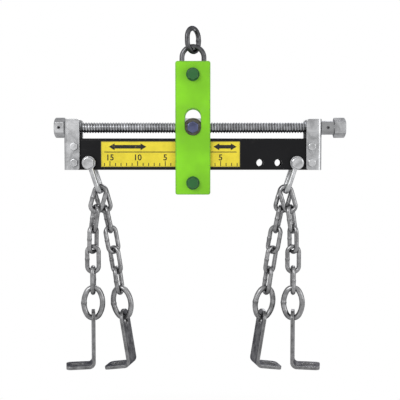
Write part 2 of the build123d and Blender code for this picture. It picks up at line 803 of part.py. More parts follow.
def shackle(side):
    """Half of the shackle, from its rear ear to the middle of its bow, and its mirror image."""
    along = Vector(0, 1, 0)
    down = shackle_down(side)
    normal = down.cross(along)
    bolt_centre = Vector(side * chain_bolt_x, 0, chain_bolt_z)
    leg_y = ear_inner_y + shackle_wire / 2
    leg_start = shackle_ear_diameter / 2 - shackle_leg_inset
    bend_start = shackle_drop - shackle_bend_radius
    leg_top = bolt_centre + along * leg_y + down * leg_start
    leg_bottom = bolt_centre + along * leg_y + down * bend_start
    bend_pivot = leg_bottom - along * shackle_bend_radius
    bow_start = bend_pivot + down * shackle_bend_radius
    with BuildPart() as bow:
        with BuildSketch(rear_seat(bolt_centre.X, ear_inner_y + shackle_ear_flat, bolt_centre.Z)):
            Circle(shackle_ear_diameter / 2)
        extrude(amount=shackle_wire - 2 * shackle_ear_flat)
        with BuildSketch(Plane(leg_top, z_dir=down)):
            Circle(shackle_wire / 2)
        extrude(amount=bend_start - leg_start)
        with BuildSketch(Plane(leg_bottom, z_dir=down)):
            Circle(shackle_wire / 2)
        revolve(axis=Axis(bend_pivot, -normal), revolution_arc=90)
        with BuildSketch(Plane(bow_start, z_dir=-along)):
            Circle(shackle_wire / 2)
        extrude(amount=leg_y - shackle_bend_radius)
        mirror(about=Plane.XZ)
        with BuildSketch(rear_seat(bolt_centre.X, -ear_outer_y, bolt_centre.Z)):
            Circle(chain_bolt_diameter / 2 + running_gap)
        extrude(amount=2 * ear_outer_y, mode=Mode.SUBTRACT)
    return bow


# Chains

def link_lap(wires, bend_radius, crossing_angle):
    """How far two hooked links reach into each other, from outside to outside of their round bars'
    middles, so that the bars keep the contact gap. Links that cross at less than a right angle
    touch beside their bends' middles and reach in further."""
    distance = wires + contact_gap
    square = sin(radians(crossing_angle) / 2) ** 2
    if 2 * bend_radius * square >= distance:
        return distance
    rest = (1 - square) * (4 * bend_radius**2 - distance**2 / square)
    return 2 * bend_radius - sqrt(rest)


left_shackle = shackle(-1)
left_shackle.part.label = "left_shackle"
export_step(left_shackle.part, "parts/left_shackle.step")

right_shackle = shackle(1)
right_shackle.part.label = "right_shackle"
export_step(right_shackle.part, "parts/right_shackle.step")


def chain_planes(side, row):
    """The planes of a chain's links and of its end link, from the top down, and for each the
    middle of its upper bend, about which it swings on the bar above it."""
    mirror_sign = -side
    yaws, leans = (outer_yaws, outer_leans) if row == "outer" else (inner_yaws, inner_leans)
    depth = -chain_spacing / 2 if row == "outer" else chain_spacing / 2
    chain_bend = (chain_inner_width + chain_wire) / 2
    chain_straight = chain_inner_length - chain_inner_width
    end_straight = end_link_length - end_link_wire - 2 * end_link_bend_radius
    bow_reach = chain_inner_width / 2 - shackle_wire / 2 - contact_gap
    pivot = bow_centre(side) + Vector(0, depth, -bow_reach)
    hung = []
    for step, (yaw, lean) in enumerate(zip(yaws, leans)):
        is_end = step == len(yaws) - 1
        tilted = hanging_plane((0, 0, 0), mirror_sign * yaw, mirror_sign * lean)
        if hung:
            above, above_pivot = hung[-1]
            crossing = above.z_dir.get_angle(tilted.z_dir)
            crossing = min(crossing, 180 - crossing)
            bend = end_link_bend_radius if is_end else chain_bend
            wires = (chain_wire + (end_link_wire if is_end else chain_wire)) / 2
            reach = chain_bend + bend - link_lap(wires, min(chain_bend, bend), crossing)
            shared = above.z_dir.cross(tilted.z_dir).normalized()
            upward = shared if shared.Z > 0 else -shared
            pivot = above_pivot - above.y_dir * chain_straight - upward * reach
        straight = end_straight if is_end else chain_straight
        centre = pivot - tilted.y_dir * (straight / 2)
        hung.append((Plane(centre, x_dir=tilted.x_dir, z_dir=tilted.z_dir), pivot))
    return hung


def bracket_plane(side, end_link_plane):
    """The plane of an angle bracket's leg, centred on the hole that its end link passes through.
    The hole's rim rests on the end link's lower bend, and the foot points along the plane's z."""
    inner_bend = end_link_bend_radius - end_link_wire / 2
    rim_drop = sqrt(inner_bend**2 - (foot_thickness / 2) ** 2) - contact_gap
    end_centre = (end_link_length - end_link_wire) / 2 - end_link_bend_radius
    down = -end_link_plane.y_dir
    hole = end_link_plane.origin + down * (end_centre + rim_drop + leg_hole_diameter / 2)
    foot_direction = end_link_plane.x_dir * side
    return Plane(hole, x_dir=end_link_plane.y_dir.cross(foot_direction), z_dir=foot_direction)


def angle_bracket(plane):
    """Plate bent into an L: a hanging leg with a rounded top, and a slotted foot."""
    half = foot_thickness / 2
    top = foot_width / 2
    profile_plane = Plane(plane.origin, x_dir=plane.z_dir, z_dir=plane.x_dir)
    foot_plane = Plane(
        plane.from_local_coords((0, -leg_length, 0)),
        x_dir=plane.z_dir,
        z_dir=plane.y_dir,
    )
    with BuildPart() as bracket:
        with BuildSketch(profile_plane):
            with BuildLine():
                Polyline(
                    (-half, -top),
                    (half, -top),
                    (half, leg_length - foot_thickness),
                    (foot_length - half, leg_length - foot_thickness),
                    (foot_length - half, leg_length),
                    (-half, leg_length),
                    close=True,
                )
            make_face()
            inner_corner = vertices().sort_by_distance((half, leg_length - foot_thickness, 0))[0]
            fillet(inner_corner, foot_bend_radius)
            outer_corner = vertices().sort_by_distance((-half, leg_length, 0))[0]
            fillet(outer_corner, foot_outer_bend)
        extrude(amount=foot_width / 2, both=True)
        with BuildSketch(plane):
            Circle(top)
            Rectangle(foot_width, leg_length, align=(Align.CENTER, Align.MAX))
        extrude(amount=foot_length, both=True, mode=Mode.INTERSECT)
        upright = bracket.edges().filter_by(Axis(plane.origin, plane.y_dir))
        toe_edges = upright.sort_by(Axis(plane.origin, plane.z_dir))[-2:]
        fillet(toe_edges, foot_toe_radius)
        with BuildSketch(plane):
            Circle(leg_hole_diameter / 2)
        extrude(amount=foot_thickness, both=True, mode=Mode.SUBTRACT)
        with BuildSketch(foot_plane):
            with Locations((foot_length - half - foot_slot_from_toe, 0)):
                SlotOverall(foot_slot_length, foot_hole_diameter)
        extrude(amount=foot_thickness, mode=Mode.SUBTRACT)
    return bracket


side_names = {-1: "left", 1: "right"}

for side in (-1, 1):
    for row in ("outer", "inner"):
        chain_name = f"{side_names[side]}_{row}"
        planes = [plane for plane, _ in chain_planes(side, row)]
        for number, plane in enumerate(planes[:-1], start=1):
            link = straight_link(plane, chain_wire, chain_inner_width, chain_inner_length)
            link.part.label = f"{chain_name}_link_{number}"
            export_step(link.part, f"parts/{chain_name}_link_{number}.step")
        end_link = oval_link(
            planes[-1],
            end_link_wire,
            end_link_width,
            end_link_length,
            end_link_bend_radius,
        )
        end_link.part.label = f"{chain_name}_end_link"
        export_step(end_link.part, f"parts/{chain_name}_end_link.step")
        bracket = angle_bracket(bracket_plane(side, planes[-1]))
        bracket.part.label = f"{chain_name}_bracket"
        export_step(bracket.part, f"parts/{chain_name}_bracket.step")
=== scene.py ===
"""Threads, welded links, rounded edges, label print and finishes for an engine load leveler.

Laid out as an add-on and run as a script. Every length is in metres, in the model's own frame.
"""

import json
from math import atan2, cos, degrees, pi, radians, sin

import bmesh
import bpy
from bpy.props import FloatProperty, FloatVectorProperty, IntProperty, PointerProperty
from bpy.types import Operator, Panel, PropertyGroup
from mathutils import Matrix, Vector


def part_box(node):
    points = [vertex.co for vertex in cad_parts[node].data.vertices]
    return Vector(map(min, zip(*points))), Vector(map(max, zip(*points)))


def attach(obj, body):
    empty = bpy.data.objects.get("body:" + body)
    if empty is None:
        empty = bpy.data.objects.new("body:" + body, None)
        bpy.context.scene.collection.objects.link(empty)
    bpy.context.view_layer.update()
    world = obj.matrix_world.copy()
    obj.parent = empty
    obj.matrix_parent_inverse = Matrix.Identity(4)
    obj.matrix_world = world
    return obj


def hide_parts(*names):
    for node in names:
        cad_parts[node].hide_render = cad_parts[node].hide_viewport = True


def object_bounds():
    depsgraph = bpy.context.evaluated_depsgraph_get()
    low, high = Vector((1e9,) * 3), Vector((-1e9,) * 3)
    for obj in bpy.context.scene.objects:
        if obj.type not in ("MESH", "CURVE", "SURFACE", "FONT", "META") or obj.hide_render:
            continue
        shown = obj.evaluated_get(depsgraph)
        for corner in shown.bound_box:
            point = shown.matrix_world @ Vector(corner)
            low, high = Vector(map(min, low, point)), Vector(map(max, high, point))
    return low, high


bl_info = {
    "name": "Engine Load Leveler",
    "version": (1, 0, 0),
    "blender": (4, 5, 0),
    "location": "View3D > Sidebar > Leveler",
    "description": "Makes the threads, welded links, print and finishes of a load leveler",
    "category": "Object",
}

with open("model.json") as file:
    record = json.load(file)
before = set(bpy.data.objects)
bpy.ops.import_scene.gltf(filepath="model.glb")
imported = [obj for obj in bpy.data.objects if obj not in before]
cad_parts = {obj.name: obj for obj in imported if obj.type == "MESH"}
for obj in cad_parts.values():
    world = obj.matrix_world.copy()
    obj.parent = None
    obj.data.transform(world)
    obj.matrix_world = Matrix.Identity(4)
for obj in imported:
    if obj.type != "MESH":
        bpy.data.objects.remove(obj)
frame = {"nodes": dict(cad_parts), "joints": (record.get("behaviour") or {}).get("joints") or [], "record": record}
cad_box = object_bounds()
cad_nodes = frame["nodes"]
hinges = {joint["child"]: joint for joint in frame["joints"] if joint["type"] == "hinge"}
chain_names = ("left_outer", "left_inner", "right_outer", "right_inner")
links_per_chain = 5
marks_per_number = 5
number_weight = 0.02  # how much bolder than its type a number is, as a share of its size
arrow_head, arrow_shaft = 0.85, 0.26  # a head's length and half of a shaft, as shares of height
path_step, rub_reach = 0.17, 1.1  # along a link and round its contacts, as shares of its bar
bar_facets, bolt_facets = 24, 36
same_place = 1e-6  # corners nearer than this are one corner
same_face = radians(0.8)  # faces that turn less than this are one face
rounded_edge = radians(25)  # edges that turn more than this are rounded
smooth_edge = radians(50)  # edges that turn less than this are shaded smooth


def middle(node):
    low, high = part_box(node)
    return (low + high) / 2


def screw_height():
    return hinges["leveling_screw"]["pos_m"][2]


def linked(name, data):
    """A new object in the scene."""
    made = bpy.data.objects.new(name, data)
    bpy.context.scene.collection.objects.link(made)
    return made


def plain_mesh(source):
    """What an object shows, as a mesh of its own, in place of the object."""
    depsgraph = bpy.context.evaluated_depsgraph_get()
    mesh = bpy.data.meshes.new_from_object(
        source.evaluated_get(depsgraph), preserve_all_data_layers=True, depsgraph=depsgraph
    )
    bpy.data.objects.remove(source)
    return mesh


# Sizes and colours that a user would change


def length(name, description, default):
    return FloatProperty(
        name=name, description=description, default=default, unit="LENGTH", precision=5
    )


def colour(name, description, default):
    return FloatVectorProperty(
        name=name, description=description, default=default, subtype="COLOR", min=0, max=1
    )


class ScrewSizes(PropertyGroup):
    thread_diameter: length("Thread Diameter", "Across the thread's crests", 0.019)
    thread_depth: length("Thread Depth", "From a crest to a root", 0.0021)
    thread_pitch: length("Thread Pitch", "Travel of the bar for one turn", 0.005)
    thread_half_length: length("Half Length", "From the middle to the thread's end", 0.2219)
    journal_diameter: length("Journal Diameter", "Plain ends in the bushes and heads", 0.016)
    facets: IntProperty(name="Facets", description="Faces round the thread", default=36, min=12)


class LinkSizes(PropertyGroup):
    chain_wire: length("Chain Bar", "Diameter of the chain's round bar", 0.008)
    chain_width: length("Chain Inner Width", "Between a chain link's sides", 0.013)
    chain_length: length("Chain Inner Length", "Inside a chain link, end to end", 0.039)
    end_wire: length("End Link Bar", "Diameter of an end link's round bar", 0.010)
    end_width: length("End Link Width", "Overall width of an end link", 0.044)
    end_length: length("End Link Length", "Overall length of an end link", 0.066)
    end_bend: length("End Link Bend", "Bend radius at an end link's ends", 0.013)
    large_wire: length("Ring Bar", "Diameter of the lift ring's and carrier link's bar", 0.009)
    ring_width: length("Ring Inner Width", "Across the lift ring's eye", 0.026)
    ring_length: length("Ring Inner Length", "Height of the lift ring's eye", 0.033)
    ring_turn: FloatProperty(
        name="Ring Turn",
        description="How far the lift ring is turned about the vertical",
        default=radians(55),
        subtype="ANGLE",
    )
    link_width: length("Carrier Link Inner Width", "Inside the carrier link", 0.031)
    link_length: length("Carrier Link Inner Length", "Inside the carrier link", 0.0566)
    weld_rise: length("Weld Rise", "How far a weld stands out of the bar", 0.00045)
    weld_length: length("Weld Length", "Half of a weld's length along the bar", 0.0035)


class FinishColours(PropertyGroup):
    carrier_green: colour("Carrier Green", "Powder coat of the plates", (0.21, 0.60, 0.012))
    fastener_green: colour("Fastener Green", "Coated carrier bolts", (0.02, 0.13, 0.03))
    bar_black: colour("Bar Black", "Powder coat of the bar", (0.0075, 0.0075, 0.0085))
    label_yellow: colour("Label Yellow", "Printed film on the bar", (0.73, 0.60, 0.045))
    label_ink: colour("Label Ink", "Marks and border on the label", (0.012, 0.012, 0.012))
    zinc: colour("Zinc", "Bright plated brackets and bolts", (0.50, 0.505, 0.515))
    blue_zinc: colour("Blue Zinc", "Plated trunnion screws", (0.09, 0.10, 0.18))
    chain_grey: colour("Chain Grey", "Dull steel of the chains and feet", (0.25, 0.25, 0.255))
    oiled_steel: colour("Oiled Steel", "Dark lift ring and carrier link", (0.095, 0.095, 0.1))
    machined_steel: colour("Machined Steel", "Screw, nut and rollers", (0.42, 0.43, 0.45))
    bronze: colour("Bronze", "Greased plain bearings", (0.06, 0.058, 0.042))


class RoundingSizes(PropertyGroup):
    plates: length("Plates", "Rounding of the carrier plates' edges", 0.0009)
    brackets: length("Brackets", "Rounding of the brackets', feet's and bar's edges", 0.0006)
    fasteners: length("Fasteners", "Rounding of bolts, nuts, washers and heads", 0.0003)


class BoltSizes(PropertyGroup):
    large_diameter: length("Large Bolts", "Diameter of the carrier's and chains' bolts", 0.012)
    large_pitch: length("Large Pitch", "Thread pitch of the large bolts", 0.00175)
    small_diameter: length("Small Bolts", "Diameter of the end brackets' bolts", 0.008)
    small_pitch: length("Small Pitch", "Thread pitch of the small bolts", 0.00125)
    depth_share: FloatProperty(
        name="Depth", description="Of the thread, as a share of its pitch", default=0.61
    )
    point: length("Point", "Plain point past the thread", 0.0005)


class LabelSizes(PropertyGroup):
    border: length("Border", "Width of the dark edge round the label", 0.0014)
    mark_spacing: length("Mark Spacing", "Between two marks of the scale", 0.01)
    mark_width: length("Mark Width", "Width of a mark", 0.0015)
    short_mark: length("Short Mark", "Height of a short mark", 0.0055)
    tall_mark: length("Tall Mark", "Height of every fifth mark", 0.0090)
    number_size: length("Number Size", "Type size of the numbers", 0.0150)
    left_arrow: length("Left Arrow", "Length of the arrow on the left", 0.068)
    right_arrow: length("Right Arrow", "Length of the arrow on the right", 0.042)
    arrow_height: length("Arrow Height", "Across an arrow's heads", 0.0125)
    left_place: length("Left Arrow Place", "Middle of the arrow on the left", -0.118)
    right_place: length("Right Arrow Place", "Middle of the arrow on the right", 0.058)
    mark_gap: length("Mark Gap", "From the border to the marks", 0.0012)
    number_gap: length("Number Gap", "From the tall marks to the numbers", 0.0015)
    arrow_gap: length("Arrow Gap", "From the border to the arrows", 0.003)
    rule_gap: length("Rule Gap", "From the arrows to the line under them", 0.004)
    rule_inset: length("Rule Inset", "From the label's ends to the line across it", 0.007)
    ink: length("Ink", "How far the print stands out of the film", 0.00005)


class StageSizes(PropertyGroup):
    floor_drop: length("Floor Drop", "From the feet to the floor", 0.30)
    floor_radius: length("Floor Radius", "Of the round floor", 9.0)
    glow_start: length("Glow Start", "Where the floor starts to turn white", 0.15)
    glow_end: length("Glow End", "Where the floor is all white", 0.9)
    camera_distance: length("Camera Distance", "From the leveler's middle", 1.45)
    camera_height: length("Camera Height", "Of the camera in the model's frame", -0.223)
    focal_length: FloatProperty(
        name="Focal Length", description="Of the camera", default=71.0, unit="CAMERA"
    )
    world_light: FloatProperty(
        name="World Light", description="Strength of the pale world's light", default=0.51
    )


# Node trees, for shapes and for finishes


class Nodes:
    """Adds nodes to a tree, with values or other nodes' outputs on their sockets."""

    def __init__(self, tree):
        self.tree = tree

    def feed(self, socket, value):
        if isinstance(value, bpy.types.NodeSocket):
            self.tree.links.new(value, socket)
        else:
            socket.default_value = value

    def add(self, kind, inputs=(), **settings):
        made = self.tree.nodes.new(kind)
        for setting, value in settings.items():
            setattr(made, setting, value)
        for socket, value in dict(inputs).items():
            self.feed(made.inputs[socket], value)
        return made

    def first(self, kind, inputs=(), **settings):
        """The first output of a new node."""
        return self.add(kind, inputs, **settings).outputs[0]

    def math(self, operation, a, b=0.0, c=0.0, clamp=False):
        inputs = {0: a, 1: b, 2: c}
        return self.first("ShaderNodeMath", inputs, operation=operation, use_clamp=clamp)

    def plus(self, a, b):
        return self.math("ADD", a, b)

    def minus(self, a, b):
        return self.math("SUBTRACT", a, b)

    def scaled(self, value, factor, start=0.0):
        return self.math("MULTIPLY_ADD", value, factor, start)

    def vector(self, operation, a, b=(0, 0, 0), result=0):
        return self.add("ShaderNodeVectorMath", {0: a, 1: b}, operation=operation).outputs[result]

    def split(self, vector):
        return self.add("ShaderNodeSeparateXYZ", {0: vector}).outputs

    def joined(self, **axes):
        return self.first("ShaderNodeCombineXYZ", axes)

    def between(self, value, low, high, start=0.0, end=1.0):
        """start where value is low, end where it is high, with soft ends."""
        inputs = {"Value": value, "From Min": low, "From Max": high, "To Min": start, "To Max": end}
        return self.first("ShaderNodeMapRange", inputs, interpolation_type="SMOOTHSTEP")


class Shape(Nodes):
    """A Geometry Nodes tree with named inputs that ends in realized geometry with a material."""

    def __init__(self, name, measures, counts):
        tree = bpy.data.node_groups.new(name, "GeometryNodeTree")
        super().__init__(tree)
        kinds = {"Geometry": "Geometry", **dict.fromkeys(measures, "Float")}
        kinds.update(dict.fromkeys(counts, "Int"), Finish="Material")
        for socket, kind in kinds.items():
            tree.interface.new_socket(socket, in_out="INPUT", socket_type=f"NodeSocket{kind}")
        tree.interface.new_socket("Geometry", in_out="OUTPUT", socket_type="NodeSocketGeometry")
        self.given = self.add("NodeGroupInput").outputs

    def store(self, geometry, name, value):
        inputs = {"Geometry": geometry, "Name": name, "Value": value}
        kind = "GeometryNodeStoreNamedAttribute"
        return self.first(kind, inputs, domain="POINT", data_type="FLOAT")

    def smooth(self, mesh, sharpest):
        """Smooth faces, with every edge that turns more than an angle kept sharp."""
        kind = "GeometryNodeSetShadeSmooth"
        faces = self.first(kind, {"Geometry": mesh}, domain="FACE")
        sharp = self.math("GREATER_THAN", self.first("GeometryNodeInputMeshEdgeAngle"), sharpest)
        inputs = {"Geometry": faces, "Selection": sharp, "Shade Smooth": False}
        return self.first(kind, inputs, domain="EDGE")

    def close(self, geometry):
        real = self.first("GeometryNodeRealizeInstances", {"Geometry": geometry})
        inputs = {"Geometry": real, "Material": self.given["Finish"]}
        self.add("NodeGroupOutput", {"Geometry": self.first("GeometryNodeSetMaterial", inputs)})

    def make(self, name, source_mesh, values):
        """Runs the tree on a mesh and returns the result as a plain object at the origin."""
        source = linked(f"{name}_source", source_mesh)
        build = source.modifiers.new("build", "NODES")
        build.node_group = self.tree
        for item in self.tree.interface.items_tree:
            if item.in_out == "INPUT" and item.name in values:
                build[item.identifier] = values[item.name]
        mesh = plain_mesh(source)
        mesh.name = name
        return linked(name, mesh)


class Finish(Nodes):
    """A material on the object's own coordinates. Plain values go straight on its shader."""

    def __init__(self, name, **plain):
        material = bpy.data.materials.new(name)
        material.use_nodes = True
        super().__init__(material.node_tree)
        self.material = material
        self.shader = material.node_tree.nodes["Principled BSDF"]
        self.place = self.add("ShaderNodeTexCoord").outputs["Object"]
        for socket, value in plain.items():
            self.shader.inputs[socket.replace("_", " ")].default_value = value

    def noise(self, scale, detail=2.0, roughness=0.5, stretch=(1, 1, 1), distortion=0.0):
        inputs = {
            "Vector": self.vector("MULTIPLY", self.place, stretch),
            "Scale": scale,
            "Detail": detail,
            "Roughness": roughness,
            "Distortion": distortion,
        }
        return self.add("ShaderNodeTexNoise", inputs).outputs["Fac"]

    def patches(self, low, high, scale, *more, **form):
        """0 where a noise is at low or under, 1 where it is at high or over."""
        return self.between(self.noise(scale, *more, **form), low, high)

    def cells(self, scale):
        """A level of its own for each small cell."""
        cells = self.add("ShaderNodeTexVoronoi", {"Vector": self.place, "Scale": scale})
        return self.split(cells.outputs["Color"])[0]

    def mix(self, factor, a, b):
        return self.add("ShaderNodeMix", {0: factor, 6: a, 7: b}, data_type="RGBA").outputs[2]

    def attribute(self, name):
        return self.add("ShaderNodeAttribute", attribute_name=name).outputs["Fac"]

    def bump(self, height, distance, under=None):
        inputs = {"Height": height, "Distance": distance, "Strength": 1.0}
        if under is not None:
            inputs["Normal"] = under
        return self.first("ShaderNodeBump", inputs)

    def rim(self, low, high, axes):
        """Distance to the nearest side of a box, counted along some of its axes."""
        centre = (Vector(low) + Vector(high)) / 2
        half = (Vector(high) - Vector(low)) / 2
        offset = self.vector("ABSOLUTE", self.vector("SUBTRACT", self.place, centre))
        inside = self.split(self.vector("SUBTRACT", half, offset))
        nearest = inside[axes[0]]
        for axis in axes[1:]:
            nearest = self.math("MINIMUM", nearest, inside[axis])
        return nearest

    def done(self, base, roughness, normal):
        for socket, value in (("Base Color", base), ("Roughness", roughness), ("Normal", normal)):
            self.feed(self.shader.inputs[socket], value)
        return self.material


metal = {"Metallic": 1.0, "Specular_Tint": (0.26, 0.26, 0.28, 1.0)}


def shade(tint, factor, lift=0.0):
    return (*(min(1.0, channel * factor + lift) for channel in tint), 1.0)


# Finishes


def powder_coat(name, tint, peel=0.00003, gloss=0.32, sheen=0.32):
    """Smooth paint with orange peel and slow shading, chipped and worn along its edges; its rounded edges are
    darkened with painted shade.
    """
    finish = Finish(name, Metallic=0.0, IOR=1.5, Specular_IOR_Level=sheen)
    body = finish.mix(finish.patches(0.3, 0.7, 13, 3), shade(tint, 0.8), shade(tint, 1.1))
    dust = finish.scaled(finish.patches(0.52, 0.8, 60, 4, 0.65), 0.04)
    body = finish.mix(dust, body, (0.33, 0.32, 0.29, 1))
    edge = finish.attribute("edge")
    worn = finish.scaled(edge, finish.patches(0.5, 0.62, 420, 4, 0.7))
    # Painted shade: every rounded edge is painted darker, as shade on it.
    body = finish.mix(finish.scaled(edge, 0.3), body, shade(tint, 0.45))
    chips = finish.patches(0.74, 0.76, 120, 3, 0.6, distortion=0.6)
    bare = finish.math("MAXIMUM", worn, chips)
    body = finish.mix(bare, body, (0.10, 0.097, 0.09, 1))
    scuff = finish.patches(0.55, 0.8, 36, 5, 0.7, stretch=(1, 1, 6))
    roughness = finish.scaled(finish.plus(finish.noise(420, 2), scuff), 0.14, gloss - 0.08)
    roughness = finish.scaled(bare, 0.22, roughness)
    skin = finish.bump(finish.noise(560, 1), peel)
    skin = finish.bump(finish.minus(1.0, bare), 0.00007, skin)
    return finish.done(body, roughness, skin)


def black_bar_finish(colours):
    """Black powder coat of the square tube: faint long rub marks and dust over the peel."""
    finish = Finish("black_powder_coat", Metallic=0.0, IOR=1.5, Specular_IOR_Level=0.12)
    tint = colours.bar_black
    body = finish.mix(finish.patches(0.3, 0.7, 7, 3), shade(tint, 0.75), shade(tint, 1.3))
    rub = finish.patches(0.62, 0.76, 240, 3, 0.6, stretch=(0.04, 1, 1))
    rub = finish.scaled(rub, finish.patches(0.45, 0.65, 9, 2))
    body = finish.mix(finish.scaled(rub, 0.3), body, (0.05, 0.05, 0.052, 1))
    dust = finish.patches(0.55, 0.85, 48, 5, 0.7)
    body = finish.mix(finish.scaled(dust, 0.015), body, (0.4, 0.38, 0.34, 1))
    worn = finish.scaled(finish.attribute("edge"), finish.patches(0.5, 0.64, 300, 4, 0.7))
    body = finish.mix(worn, body, (0.10, 0.098, 0.095, 1))
    roughness = finish.scaled(finish.plus(dust, rub), 0.14, 0.3)
    roughness = finish.scaled(worn, 0.15, roughness)
    return finish.done(body, roughness, finish.bump(finish.noise(520, 1), 0.00003))


def label_finish(colours, sizes):
    """Yellow film with a dark border, slightly soiled and rubbed."""
    finish = Finish("yellow_film", Metallic=0.0, IOR=1.46, Specular_IOR_Level=0.2)
    tint = colours.label_yellow
    soil = finish.noise(30, 5, 0.65)
    body = finish.mix(finish.between(soil, 0.35, 0.75), shade(tint, 1.04), shade(tint, 0.84))
    rim = finish.rim(*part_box("bar_label"), (0, 2))
    border = finish.math("LESS_THAN", rim, sizes.border)
    body = finish.mix(border, body, shade(colours.label_ink, 1.0))
    scuff = finish.patches(0.63, 0.75, 150, 5, 0.7, stretch=(0.15, 1, 1))
    body = finish.mix(finish.scaled(scuff, 0.22), body, (0.16, 0.14, 0.1, 1))
    grime = finish.between(rim, sizes.border, sizes.border + 0.003, 0.5, 0.0)
    body = finish.mix(finish.scaled(grime, soil), body, (0.1, 0.085, 0.05, 1))
    roughness = finish.scaled(finish.plus(soil, scuff), 0.16, 0.24)
    return finish.done(body, roughness, finish.bump(finish.noise(190, 3), 0.00004))


def ink_finish(colours):
    """Printed marks, rubbed thin in places so that the film shows through."""
    finish = Finish("printed_ink", Metallic=0.0, IOR=1.46, Specular_IOR_Level=0.3)
    rubbed = finish.patches(0.6, 0.72, 420, 4, 0.7)
    ink, film = shade(colours.label_ink, 1.0), shade(colours.label_yellow, 0.8)
    body = finish.mix(finish.scaled(rubbed, 0.7), ink, film)
    roughness = finish.scaled(rubbed, 0.2, 0.35)
    return finish.done(body, roughness, finish.bump(finish.noise(600, 2), 0.00001))


def zinc_finish(name, tint):
    """Bright plating: soft clouds, dull stains, a faint grain and brighter rubbed edges."""
    finish = Finish(name, **metal)
    cloud = finish.noise(48, 5, 0.62, distortion=0.6)
    tone = finish.between(finish.scaled(finish.cells(520), 0.06, cloud), 0.34, 0.72)
    body = finish.mix(tone, shade(tint, 0.68), shade(tint, 1.14))
    stain = finish.patches(0.58, 0.76, 120, 5, 0.7, distortion=0.4)
    body = finish.mix(finish.scaled(stain, 0.5), body, shade(tint, 0.42))
    body = finish.mix(finish.scaled(finish.attribute("edge"), 0.7), body, shade(tint, 1.35))
    roughness = finish.scaled(stain, 0.2, finish.scaled(cloud, 0.3, 0.14))
    grain = finish.bump(finish.noise(1500, 2, 0.6, stretch=(1, 1, 0.12)), 0.000012)
    return finish.done(body, roughness, finish.bump(cloud, 0.00004, grain))


def bare_steel(name, tint, oxide=0.5):
    """Dull rolled or drawn steel: scale in clouds, darker specks and a fine tooth."""
    finish = Finish(name, **metal)
    cloud = finish.noise(75, 5, 0.65)
    speck = finish.patches(0.56, 0.7, 520, 3, 0.6)
    body = finish.mix(finish.between(cloud, 0.32, 0.68), shade(tint, 0.66), shade(tint, 1.3))
    body = finish.mix(finish.scaled(speck, oxide), body, shade(tint, 0.45))
    body = finish.mix(finish.scaled(finish.attribute("edge"), 0.6), body, shade(tint, 1.6, 0.04))
    roughness = finish.scaled(speck, 0.12, finish.scaled(cloud, 0.24, 0.17))
    tooth = finish.bump(finish.noise(900, 4, 0.65), 0.00003)
    return finish, body, roughness, finish.bump(cloud, 0.00005, tooth)


def link_finish(name, tint, weld_tint=0.55):
    """Steel of a welded link: bright where it rubs on its neighbour, scaled at its weld."""
    finish, body, roughness, skin = bare_steel(name, tint)
    weld = finish.attribute("weld")
    scale = finish.scaled(weld, finish.patches(0.3, 0.6, 700, 3))
    body = finish.mix(scale, body, shade(tint, weld_tint))
    roughness = finish.scaled(scale, 0.2, roughness)
    ragged = finish.scaled(finish.noise(350, 3), 0.5, -0.25)
    rub = finish.between(finish.plus(finish.attribute("rub"), ragged), 0.4, 0.75)
    body = finish.mix(rub, body, shade(tint, 1.2, 0.28))
    roughness = finish.scaled(rub, -0.2, roughness)
    ripple = finish.scaled(weld, finish.noise(1100, 3, 0.6))
    return finish.done(body, roughness, finish.bump(ripple, 0.00035, skin))


def plate_steel_finish(name, tint):
    """Hot-rolled plate with faint streaks along its rolling."""
    finish, body, roughness, skin = bare_steel(name, tint)
    rolled = finish.noise(160, 3, 0.6, stretch=(1, 0.3, 0.12))
    streak = finish.scaled(finish.between(rolled, 0.5, 0.75), 0.35)
    body = finish.mix(streak, body, shade(tint, 1.5, 0.03))
    return finish.done(body, roughness, finish.bump(rolled, 0.00003, skin))


def turned_finish(name, tint, axis):
    """Machined steel with turning marks that run round an axis."""
    finish, body, roughness, skin = bare_steel(name, tint, 0.25)
    stretch = [0.06, 0.06, 0.06]
    stretch[axis] = 1.0
    marks = finish.noise(2600, 2, 0.6, stretch=stretch)
    body = finish.mix(finish.between(marks, 0.35, 0.65), body, shade(tint, 1.35, 0.03))
    return finish.done(body, roughness, finish.bump(marks, 0.000025, skin))


def thread_finish(colours, sizes):
    """Rolled thread: bright crests, and old grease with dust in the roots."""
    finish, body, roughness, skin = bare_steel("rolled_thread", colours.machined_steel, 0.3)
    off_axis = finish.vector("SUBTRACT", finish.place, (0, 0, screw_height()))
    off_axis = finish.vector("MULTIPLY", off_axis, (0, 1, 1))
    reach = finish.vector("LENGTH", off_axis, result="Value")
    ragged = finish.scaled(finish.noise(260, 4, 0.6), 0.0016, -0.0008)
    root = sizes.thread_diameter / 2 - sizes.thread_depth
    clean = root + 0.8 * sizes.thread_depth
    grease = finish.between(finish.plus(reach, ragged), root, clean, 1.0, 0.0)
    body = finish.mix(finish.scaled(grease, 0.85), body, (0.035, 0.031, 0.026, 1))
    return finish.done(body, finish.scaled(grease, 0.12, roughness), skin)


# Shapes


def loop_mesh(name, points):
    """A closed path of edges, for a tree to sweep round bar along."""
    mesh = bpy.data.meshes.new(name)
    edges = [(i, (i + 1) % len(points)) for i in range(len(points))]
    mesh.from_pydata([(x, y, 0) for x, y in points], edges, [])
    return mesh


def arc(centre, radius, start, end, steps):
    """Points along an arc, without its last one."""
    turns = [radians(start + (end - start) * step / steps) for step in range(steps)]
    return [(centre[0] + radius * cos(t), centre[1] + radius * sin(t)) for t in turns]


def straight_sided(inner_width, inner_length, wire, steps=32):
    """The middle line of a link with straight sides, from the middle of its right side."""
    bend = (inner_width + wire) / 2
    half = (inner_length - inner_width) / 2
    right = [(bend, 0.0), (bend, half / 2)]
    left = [(-bend, half / 2), (-bend, 0.0), (-bend, -half / 2)]
    top = arc((0, half), bend, 0, 180, steps)
    bottom = arc((0, -half), bend, 180, 360, steps)
    return [*right, *top, (-bend, half), *left, *bottom, (bend, -half), (bend, -half / 2)]


